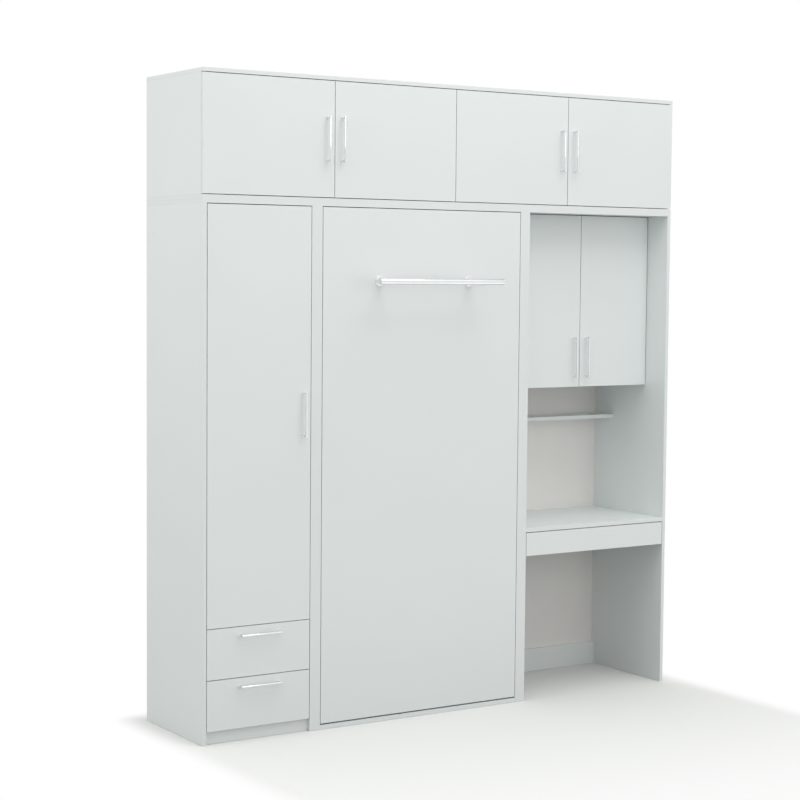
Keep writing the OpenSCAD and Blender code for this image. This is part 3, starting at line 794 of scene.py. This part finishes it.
# %% Quilt the cover
DIAMOND = 0.115
STITCH_DEPTH = 0.006
STITCH_SPREAD = 0.011
SEAM_RIM = 0.01
PLAIN_RIM = 0.035
PANEL_TURN = (0.6, 0.95)
CHANNEL_DEPTH = 0.0035
PUCKER_DEPTH = 0.0008
PUCKERS = 45
STRAP_SINK = 0.003
STRAP_WIDTH = 0.040
TOP_SIDE = 0.3
strap_low, strap_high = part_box("mattress_straps")
strap_middles = [strap_low.z + STRAP_WIDTH / 2, strap_high.z - STRAP_WIDTH / 2]


def to_nearest_line(value, pitch):
    """Distance from a value to the nearest multiple of the pitch."""
    return abs((value + pitch / 2) % pitch - pitch / 2)


def sink(distance, depth, spread):
    """Depth of the dent that a stitched line leaves at some distance."""
    return depth * math.exp(-distance / spread)


def eased(value, start, end):
    """Goes smoothly from 0 at the start to 1 at the end."""
    share = min(max((value - start) / (end - start), 0), 1)
    return share * share * (3 - 2 * share)


def quilt(obj):
    """Sinks the stitched lines and the beds of the straps, and holds the mattress to its size."""
    centre = (mattress_low + mattress_high) / 2
    half = (mattress_high - mattress_low) / 2
    normals = [vertex.normal.copy() for vertex in obj.data.vertices]
    for vertex, normal in zip(obj.data.vertices, normals):
        point = vertex.co - centre
        rim = min(half.x - abs(point.x), half.z - abs(point.z))
        line = min(to_nearest_line(point.x + way * point.z, DIAMOND) for way in (1, -1))
        on_panel = eased(abs(normal.y), *PANEL_TURN)
        pattern = sink(line / math.sqrt(2), STITCH_DEPTH, STITCH_SPREAD)
        pattern *= eased(rim, SEAM_RIM, PLAIN_RIM)
        pattern += sink(abs(rim - PLAIN_RIM), STITCH_DEPTH / 2, STITCH_SPREAD / 2)
        channel = sink(abs(abs(point.y) - half.y / 3), CHANNEL_DEPTH, STITCH_SPREAD) * (1 - on_panel)
        pucker = PUCKER_DEPTH * noise.noise(vertex.co * PUCKERS)
        vertex.co -= normal * (pattern * on_panel + channel + pucker)
        if normal.y > TOP_SIDE:
            gap = min(abs(vertex.co.z - strap) for strap in strap_middles)
            top = mattress_high.y - STRAP_SINK * (1 - eased(gap, STRAP_WIDTH / 2, STRAP_WIDTH))
            vertex.co.y = min(vertex.co.y, top)
        for axis in (X, Y, Z):
            vertex.co[axis] = min(max(vertex.co[axis], mattress_low[axis]), mattress_high[axis])
    obj.data.update()


def lay_threads(obj):
    """UV coordinates in metres, laid on from the six sides, for the threads of a cloth."""
    if not obj.data.uv_layers:
        obj.data.uv_layers.new(name="UVMap")
    edit(obj)
    pick_all()
    bpy.ops.uv.cube_project(cube_size=1, correct_aspect=False)
    done()


quilt(mattress)
lay_threads(mattress)
set_piece(mattress, "bed", ticking, "ticking", "mattress", smooth=180)
tell(mattress)

# %% [markdown]
# The piping is a thin cord in a strip of cloth, caught in the seam between panel and border. Each of
# its two loops starts as a rectangle whose corners are rounded with Bevel, loses its face so that
# only the outline is left, becomes a curve and gets thickness.

# %% Piping
PIPING_RADIUS = 0.0035


def make_piping(name, y):
    """A closed loop of piping round the mattress."""
    low = Vector((mattress_low.x + SEAM_INSET, y, mattress_low.z + SEAM_INSET))
    high = Vector((mattress_high.x - SEAM_INSET, y, mattress_high.z - SEAM_INSET))
    loop = sheet(name, (low + high) / 2, high.x - low.x, high.z - low.z, UPRIGHT)
    edit(loop)
    pick_all()
    bpy.ops.mesh.bevel(offset=CORNER_ROUND, segments=8, affect="VERTICES")
    pick_all()
    bpy.ops.mesh.delete(type="ONLY_FACE")
    done()
    only(loop)
    bpy.ops.object.convert(target="CURVE")
    loop.data.bevel_depth = PIPING_RADIUS
    loop.data.bevel_resolution = 3
    bpy.ops.object.convert(target="MESH")
    lay_threads(loop)
    set_piece(loop, "bed", piping_cloth, "ticking", smooth=60)
    tell(loop)


make_piping("lower_piping", mattress_low.y + SEAM_INSET)
make_piping("upper_piping", mattress_high.y - SEAM_INSET)

# %% [markdown]
# Two straps hold the mattress on the frame while the bed stands upright. A strap is a flat ribbon
# that goes up one side, over the mattress and down the other side, with a rounded turn at each
# corner. The ribbon is an outline extruded by its width, and Solidify gives it its thickness.

# %% Mattress straps
STRAP_THICKNESS = 0.002
STRAP_TURN = 0.012
BUCKLE_INSET = 0.14
BUCKLE_HALF_LENGTH = 0.018
BUCKLE_RIM = 0.0045
BUCKLE_SLOT = 0.008
BUCKLE_SUNK = 0.0012
BUCKLE_RISE = 0.0032
BUCKLE_ROUND = 0.0009
CUT_PAST = 0.01
strap_top = strap_high.y - STRAP_THICKNESS - STRAP_SINK
strap_left = strap_low.x + STRAP_THICKNESS
strap_right = strap_high.x - STRAP_THICKNESS


def make_strap(name, height):
    """The ribbon, open at the frame, with its lower edge at that height."""
    middle = ((strap_left + strap_right) / 2, (strap_low.y + strap_top) / 2, height)
    strap = sheet(name, middle, strap_right - strap_left, strap_top - strap_low.y)
    edit(strap)
    pick(strap, "VERT", lambda vertex: vertex.co.y > strap_top - NEAR)
    bpy.ops.mesh.bevel(offset=STRAP_TURN, segments=6, affect="VERTICES")
    pick_all()
    bpy.ops.mesh.delete(type="ONLY_FACE")
    pick(strap, "EDGE", at(Y, strap_low.y))
    bpy.ops.mesh.delete(type="EDGE")
    pick_all()
    extrude(0, 0, STRAP_WIDTH)
    face_outwards()
    done()
    return strap


def thicken_strap(strap):
    """Gives the ribbon its thickness, away from the mattress."""
    top = max(strap.data.polygons, key=lambda face: face.center.y)
    if top.normal.y < 0:
        strap.data.flip_normals()
    apply_modifier(strap, "SOLIDIFY", thickness=STRAP_THICKNESS, offset=1)
    lay_threads(strap)


def make_buckle(name, height):
    """A ladder buckle: a plastic frame with two slots, through which the strap is pulled."""
    x = strap_right - BUCKLE_INSET
    y = strap_top + STRAP_THICKNESS
    half_width = STRAP_WIDTH / 2 + BUCKLE_RIM
    low = Vector((x - BUCKLE_HALF_LENGTH, y - BUCKLE_SUNK, height - half_width))
    high = Vector((x + BUCKLE_HALF_LENGTH, y + BUCKLE_RISE, height + half_width))
    buckle = block(name, low, high)
    for start in (low.x + BUCKLE_RIM, high.x - BUCKLE_RIM - BUCKLE_SLOT):
        carve(buckle, block("slot", (start, low.y - CUT_PAST, low.z + BUCKLE_RIM),
                            (start + BUCKLE_SLOT, high.y + CUT_PAST, high.z - BUCKLE_RIM)))
    apply_modifier(buckle, "BEVEL", width=BUCKLE_ROUND, segments=2, limit_method="ANGLE")
    return buckle


for number, height in enumerate(strap_middles, start=1):
    strap = make_strap("mattress_strap_%d" % number, height - STRAP_WIDTH / 2)
    thicken_strap(strap)
    set_piece(strap, "bed", webbing, "webbing", "mattress_straps", smooth=40)
    buckle = make_buckle("strap_buckle_%d" % number, height)
    set_piece(buckle, "bed", black_plastic, "webbing", smooth=30)
    tell(strap)
    tell(buckle)

# %% [markdown]
# Every door hangs on cup hinges. A pressed steel cup sits in a round hole at the back of the door and
# is held by two ears; an arm is clipped to a plate on the side of the cabinet; two links join them.
# All are held by the same screw, whose head is a low dome with a cross cut into it.

# %% Screw head
SCREW_RADIUS = 0.0036
SCREW_RISE = 0.0011
SCREW_SUNK = 0.0005
SCREW_ROUND = 0.0007
CROSS_LENGTH = 0.0021
CROSS_DEPTH = 0.0009
CROSS_WIDTH = 0.0004
TURN_TO_X = Matrix.Rotation(-math.pi / 2, 4, "Z")


def make_screw_head():
    """A screw head that stands on the plane y = 0 and reaches a little into it."""
    head = rod("screw_head", SCREW_RADIUS, (0, -SCREW_SUNK, 0), (0, SCREW_RISE, 0), sides=20)
    round_edges(head, SCREW_ROUND, 2, at(Y, SCREW_RISE))
    top = Vector((0, SCREW_RISE, 0))
    for reach_x, reach_z in ((CROSS_LENGTH, CROSS_WIDTH), (CROSS_WIDTH, CROSS_LENGTH)):
        reach = Vector((reach_x, CROSS_DEPTH, reach_z))
        carve(head, block("slot", top - reach, top + reach))
    return head


screw_head = make_screw_head()
tell(screw_head)

# %% [markdown]
# The cup is a bowl with a thin rim that covers the edge of its hole. Across its opening run the two
# pins on which the links turn. It is modelled for a left-hand door, with the back of the door as the
# plane y = 0, so a mirrored copy suits a right-hand door.

# %% One hinge cup
CUP_WALL = 0.0012
CUP_ROUND = 0.0025
RIM_WIDTH = RIM_HEIGHT = 0.0011
RIM_ROUND = 0.0005
EAR_HALF_BREADTH = 0.013
EAR_CORNER = 0.006
EAR_ROUND = 0.0003
EAR_SCREW_INSET = 0.0065
PIN_RADIUS = 0.0014
PIN_DEPTH = 0.0065
OUTER_LINK = -0.005
INNER_LINK = 0.0045


def solid_boxes(node):
    """Low and high corner of each separate solid in a CAD node."""
    mesh = bmesh.new()
    mesh.from_mesh(cad_nodes[node].data)
    bmesh.ops.remove_doubles(mesh, verts=mesh.verts, dist=NEAR)
    boxes, left = [], set(mesh.verts)
    while left:
        solid, fresh = set(), {left.pop()}
        while fresh:
            solid |= fresh
            fresh = {edge.other_vert(vertex) for vertex in fresh for edge in vertex.link_edges} - solid
        left -= solid
        boxes.append([Vector([end(vertex.co[axis] for vertex in solid) for axis in (X, Y, Z)])
                      for end in (min, max)])
    mesh.free()
    return sorted(boxes, key=lambda box: tuple(box[0]))


first_cup_low, first_cup_high = solid_boxes("top_door_1_hinge_cups")[0]
door_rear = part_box("top_door_1")[1].y
ear_half_width = (first_cup_high.z - first_cup_low.z) / 2
ear_height = first_cup_high.y - door_rear
cup_depth = door_rear - first_cup_low.y
cup_radius = (first_cup_high.x - first_cup_low.x) / 2


def make_hinge_cup():
    """The cup with its rim, its two ears with a screw in each, and its two pins."""
    cup = block("hinge_cup", (-EAR_HALF_BREADTH, 0, -ear_half_width),
                (EAR_HALF_BREADTH, ear_height, ear_half_width))
    round_edges(cup, EAR_CORNER, 5, along(Y, ear_height / 2))
    round_edges(cup, EAR_ROUND, 2, at(Y, ear_height))
    bowl = rod("bowl", cup_radius, (0, -cup_depth, 0), (0, RIM_HEIGHT, 0), sides=48)
    round_edges(bowl, CUP_ROUND, 3, at(Y, -cup_depth))
    fuse(cup, bowl)
    rim = rod("rim", cup_radius + RIM_WIDTH, (0, 0, 0), (0, RIM_HEIGHT, 0), sides=48)
    round_edges(rim, RIM_ROUND, 2, at(Y, RIM_HEIGHT))
    fuse(cup, rim)
    inside = cup_radius - CUP_WALL
    carve(cup, rod("hollow", inside, (0, CUP_WALL - cup_depth, 0), (0, CUT_PAST, 0), sides=48))
    for x in (OUTER_LINK, INNER_LINK):
        half = math.sqrt((cup_radius - CUP_WALL / 2) ** 2 - x ** 2)
        fuse(cup, rod("pin", PIN_RADIUS, (x, -PIN_DEPTH, -half), (x, -PIN_DEPTH, half), sides=16))
    for side in (-1, 1):
        place = Matrix.Translation((0, ear_height, side * (ear_half_width - EAR_SCREW_INSET)))
        fuse(cup, copied(screw_head, "screw", place))
    return cup


hinge_cup = make_hinge_cup()
tell(hinge_cup)

# %% [markdown]
# The arm is a channel of bent sheet, open towards the side of the cabinet, which is the plane x = 0
# here. It is hollowed with Inset and Extrude, narrowed at the nose, which lies at y = 0, and lowered
# at the tail. The plate below it is fused on.

# %% One hinge arm
ARM_WALL = 0.0013
ARM_CLEAR = 0.0005
ARM_HALF_HEIGHT = 0.009
ARM_ROUND = 0.0014
NOSE_LENGTH = 0.014
NOSE_SHARE = 0.7
TAIL_DROP = 0.005
PLATE_THICKNESS = 0.003
PLATE_START = 0.022
PLATE_LENGTH = 0.032
PLATE_CORNER = 0.006
PLATE_ROUND = 0.0005
PLATE_SCREWS_OUT = 0.0175
ARM_SCREWS = (0.024, 0.042)
arm_boxes = solid_boxes("hinge_arms")
arm_low, arm_high = arm_boxes[0]
arm_width = arm_high.x - arm_low.x
arm_length = arm_high.y - arm_low.y
plate_half_height = (arm_high.z - arm_low.z) / 2


def on_arm_back(edge):
    """True for the long edges on the side of the arm that looks away from the cabinet."""
    lowest = max(arm_width / 2, arm_width - TAIL_DROP - 10 * NEAR)
    furthest_in = ARM_HALF_HEIGHT * (NOSE_SHARE - 0.01)
    return along(Y, 0.005)(edge) and all(
        v.co.x > lowest and abs(v.co.z) > furthest_in for v in edge.verts)


def make_hinge_arm():
    """The channel and its plate in one skin, with four screws."""
    arm = block("hinge_arm", (ARM_CLEAR, 0, -ARM_HALF_HEIGHT), (arm_width, arm_length, ARM_HALF_HEIGHT))
    edit(arm)
    pick_all()
    bpy.ops.mesh.bisect(plane_co=(0, NOSE_LENGTH, 0), plane_no=(0, 1, 0))
    pick(arm, "FACE", looking(X, -1))
    bpy.ops.mesh.inset(thickness=ARM_WALL, depth=0)
    extrude(arm_width - ARM_WALL - ARM_CLEAR, 0, 0)
    pick(arm, "VERT", lambda vertex: vertex.co.y < NOSE_LENGTH / 2)
    bpy.ops.transform.resize(value=(1, 1, NOSE_SHARE), center_override=(0, 0, 0))
    pick(arm, "VERT", lambda vertex: vertex.co.y > arm_length * 0.9 and vertex.co.x > arm_width / 2)
    bpy.ops.transform.translate(value=(-TAIL_DROP, 0, 0))
    done()
    round_edges(arm, ARM_ROUND, 3, on_arm_back)
    plate = block("plate", (0, PLATE_START, -plate_half_height),
                  (PLATE_THICKNESS, PLATE_START + PLATE_LENGTH, plate_half_height))
    round_edges(plate, PLATE_CORNER, 5, along(X, PLATE_THICKNESS / 2))
    round_edges(plate, PLATE_ROUND, 2, at(X, PLATE_THICKNESS))
    fuse(arm, plate)
    plate_middle = PLATE_START + PLATE_LENGTH / 2
    screws = [(PLATE_THICKNESS, plate_middle, out) for out in (PLATE_SCREWS_OUT, -PLATE_SCREWS_OUT)]
    for place in screws + [(arm_width, y, 0) for y in ARM_SCREWS]:
        fuse(arm, copied(screw_head, "screw", Matrix.Translation(place) @ TURN_TO_X))
    return arm


hinge_arm = make_hinge_arm()
tell(hinge_arm)

# %% [markdown]
# The links run from the arm into the cup and turn on the pins. On the real hinge they swing out as
# the door opens. Here each is bent instead, from its place in the cup to its place beside the arm.
# Its many cross cuts let it bend smoothly.

# %% Hinge links
LINK_THICKNESS = 0.0012
LINK_FROM = -0.0085
LINK_TO = 0.016
LINK_CUTS = 23
LINK_TURN = (-0.002, 0.013)
EYE_WALL = 0.001
# Each link has its place in the cup, its place beside the middle of the arm and half its height.
LINKS = ((OUTER_LINK, -0.0025, 0.0062), (INNER_LINK, 0.0025, 0.0042))


def make_link(x_cup, x_arm, half_height):
    """A strap from the cup to the arm, with the back of the door as the plane y = 0."""
    half = LINK_THICKNESS / 2
    link = block("link", (-half, LINK_FROM, -half_height), (half, LINK_TO, half_height))
    edit(link)
    pick(link, "EDGE", along(Y, LINK_TO))
    bpy.ops.mesh.subdivide(number_cuts=LINK_CUTS)
    done()
    for vertex in link.data.vertices:
        vertex.co.x += x_cup + (x_arm - x_cup) * eased(vertex.co.y, *LINK_TURN)
    fuse(link, rod("eye", PIN_RADIUS + EYE_WALL, (x_cup, -PIN_DEPTH, -half_height),
                   (x_cup, -PIN_DEPTH, half_height), sides=20))
    return link


def arm_at(spot):
    """Low and high corner of the arm that lies nearest to a place."""
    return min(arm_boxes, key=lambda box: ((box[0] + box[1]) / 2 - spot).length)


def hang_door(door):
    """Cups and links of one door. Gives back the middles of its cups and its hinge side."""
    low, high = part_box(door)
    boxes = solid_boxes(door + "_hinge_cups")
    middles = [Vector(((a.x + b.x) / 2, high.y, (a.z + b.z) / 2)) for a, b in boxes]
    hinge_side = -1 if middles[0].x < (low.x + high.x) / 2 else 1
    mirror = Matrix.Scale(-hinge_side, 4, (1, 0, 0))
    cups = [copied(hinge_cup, "cup", Matrix.Translation(spot) @ mirror) for spot in middles]
    set_piece(joined(cups, door + "_cups"), door, zinc, "zinc_steel", door + "_hinge_cups")
    nearest = arm_at(middles[0])
    face = nearest[0].x if hinge_side < 0 else nearest[1].x
    x_arm = (face - middles[0].x) * -hinge_side + arm_width / 2
    straps = []
    for x_cup, beside, half_height in LINKS:
        link = make_link(x_cup, x_arm + beside, half_height)
        straps += [copied(link, "strap", Matrix.Translation(spot) @ mirror) for spot in middles]
        drop(link)
    links = joined(straps, door + "_hinge_links")
    set_piece(links, None, zinc, "zinc_steel")
    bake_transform(links)
    return middles, hinge_side


arms = []
for door in doors:
    middles, hinge_side = hang_door(door)
    for spot in middles:
        low, high = arm_at(spot)
        corner = Vector((low.x if hinge_side < 0 else high.x, low.y, (low.z + high.z) / 2))
        place = Matrix.Translation(corner) @ Matrix.Scale(-hinge_side, 4, (1, 0, 0))
        arms.append(copied(hinge_arm, "arm", place))
    print(door, "has", len(middles), "hinges")
set_piece(joined(arms, "hinge_arms_and_plates"), "carcass", zinc, "zinc_steel", "hinge_arms")
for pattern in (hinge_cup, hinge_arm, screw_head):
    drop(pattern)

# %% [markdown]
# Close to the unit the floor is an ordinary matt surface that takes the soft shadow. Further off it
# gives way to plain white, quickly beside the unit and slowly in front of it, where the shadow
# reaches further. Rays from the camera, from mirrors and through glass see that floor. All others
# meet a greyer one, so no extra light comes up from it to the fronts.

# %% Floor
FLOOR_REACH = 30
FLOOR_DROP = 0.0005
FLOOR_SEEN = paint(228, 229, 227)
FLOOR_FELT = paint(140, 141, 140)
FLOOR_ROUGHNESS = 0.8
FADE_BESIDE = 0.15
FADE_IN_FRONT = 2.6


def looking_rays(tree):
    """1 for rays from the camera, from mirrors and through glass, 0 for all others."""
    path = add_node(tree, "LightPath")
    looks = path.outputs["Is Camera Ray"]
    for other in ("Is Glossy Ray", "Is Transmission Ray"):
        looks = compute(tree, "MAXIMUM", looks, path.outputs[other])
    return looks


def mix_shaders(tree, factor, first, second):
    """Goes from the first shader to the second as the factor goes from 0 to 1."""
    return add_node(tree, "MixShader", {0: factor, 1: first, 2: second}).outputs["Shader"]


def vector_step(tree, operation, *values):
    """One sum on vectors, as links or numbers."""
    step = add_node(tree, "VectorMath", dict(enumerate(values)), operation=operation)
    return step.outputs["Vector"]


def fade_outside(tree, low, high):
    """0 at the outline of the unit, 1 where the fade ends beside, behind or in front of it."""
    place = add_node(tree, "TexCoord").outputs["Object"]
    shares = []
    for side, corner, reach in ((-1, low, FADE_IN_FRONT), (1, high, FADE_BESIDE)):
        outwards = vector_step(tree, "MULTIPLY", place, (side, side, 0))
        past = vector_step(tree, "ADD", outwards, (-side * corner.x, -side * corner.y, 0))
        outside = vector_step(tree, "MAXIMUM", past, (0, 0, 0))
        shares.append(vector_step(tree, "DIVIDE", outside, (FADE_BESIDE, reach, 1)))
    total = {0: vector_step(tree, "ADD", *shares)}
    return add_node(tree, "VectorMath", total, operation="LENGTH").outputs["Value"]


def floor_finish():
    """Greyer for the light it throws back. To the eye it fades from matt to plain white."""
    material, tree, shader = new_finish("studio_floor")
    shader.inputs["Base Color"].default_value = FLOOR_FELT
    shader.inputs["Roughness"].default_value = FLOOR_ROUGHNESS
    seen = add_node(tree, "BsdfDiffuse", {"Color": FLOOR_SEEN})
    white = add_node(tree, "Emission", {"Color": WHITE, "Strength": 1})
    sockets = {"Value": fade_outside(tree, *cad_bounds)}
    fade = add_node(tree, "MapRange", sockets, interpolation_type="SMOOTHSTEP").outputs["Result"]
    looked_at = mix_shaders(tree, fade, seen.outputs["BSDF"], white.outputs["Emission"])
    surface = mix_shaders(tree, looking_rays(tree), shader.outputs["BSDF"], looked_at)
    feed(tree, surface, tree.nodes["Material Output"].inputs["Surface"])
    return material


floor = sheet("studio_floor", (0, 0, -FLOOR_DROP), FLOOR_REACH, FLOOR_REACH)
floor.data.materials.append(floor_finish())
print("floor", FLOOR_REACH, "m wide")

# %% [markdown]
# Most of the light comes from a white sky all round, which leaves the open niche and the knee space
# darker than the fronts. A lamp high in front makes the fronts a little lighter towards the top. A
# wide, weak one at eye level reaches into the niche, and one at the left lights that end. Chrome
# looks like metal only where it mirrors something brighter than its surroundings, so two bright
# strips, one above and one on the floor, are there for mirrors alone and draw the white lines along
# the bars. The roof board lies nearest to the high lamp and would turn plain white, so a card that
# only shadow rays meet stands on its front edge.

# %% Lamps and sky
SKY_LEVEL = 0.89


def soft_lamp(name, power, size, place, aim):
    """A square lamp that looks from its place to its aim."""
    data = bpy.data.lights.new(name, "AREA")
    data.energy = power
    data.size = size
    lamp = bpy.data.objects.new(name, data)
    scene.collection.objects.link(lamp)
    look = (Vector(aim) - Vector(place)).to_track_quat("-Z", "Y").to_matrix().to_4x4()
    lamp.matrix_world = Matrix.Translation(Vector(place)) @ look
    lamp.visible_camera = False
    return lamp


def mirror_strip(name, low, high, glow):
    """A level, glowing sheet between two corners that only mirrors see."""
    low, high = Vector(low), Vector(high)
    strip = sheet(name, (low + high) / 2, high.x - low.x, high.y - low.y)
    material, tree, _ = new_finish(name)
    light = add_node(tree, "Emission", {"Color": WHITE, "Strength": glow})
    feed(tree, light.outputs["Emission"], tree.nodes["Material Output"].inputs["Surface"])
    strip.data.materials.append(material)
    strip.visible_camera = strip.visible_diffuse = strip.visible_shadow = False
    strip.visible_transmission = strip.visible_volume_scatter = False


def shadow_card(name, middle, width, height):
    """An upright card that only keeps lamp light away from what is behind it."""
    card = sheet(name, middle, width, height, UPRIGHT)
    card.data.materials.append(new_finish(name)[0])
    card.visible_camera = card.visible_diffuse = card.visible_glossy = False
    card.visible_transmission = card.visible_volume_scatter = False


soft_lamp("top_lamp", power=70, size=3.2, place=(0.2, -2.6, 5.6), aim=(0, -0.8, 1.0))
front_lamp = soft_lamp("front_lamp", power=34, size=3.0, place=(1.0, -6.0, 1.6), aim=(0, -0.5, 1.3))
front_lamp.visible_glossy = False
soft_lamp("left_lamp", power=27, size=1.6, place=(-4.2, -0.8, 3.0), aim=(-1.16, -0.3, 1.6))
mirror_strip("upper_strip", low=(-0.5, -4.4, 5.2), high=(5.5, -2.4, 5.2), glow=1.5)
mirror_strip("lower_strip", low=(-1.5, -2.2, 0.03), high=(3.5, -1.6, 0.03), glow=2.0)
shadow_card("roof_card", middle=(0, -0.49, 3.21), width=2.3, height=1.2)

world = bpy.data.worlds.new("studio")
scene.world = world
world.use_nodes = True
sky_tree = world.node_tree
dim_sky = sky_tree.nodes["Background"]
dim_sky.inputs["Color"].default_value = WHITE
dim_sky.inputs["Strength"].default_value = SKY_LEVEL
white_sky = add_node(sky_tree, "Background", {"Color": WHITE, "Strength": 1})
sky = mix_shaders(sky_tree, looking_rays(sky_tree), dim_sky.outputs["Background"],
                  white_sky.outputs["Background"])
feed(sky_tree, sky, sky_tree.nodes["World Output"].inputs["Surface"])
print("sky level", SKY_LEVEL)
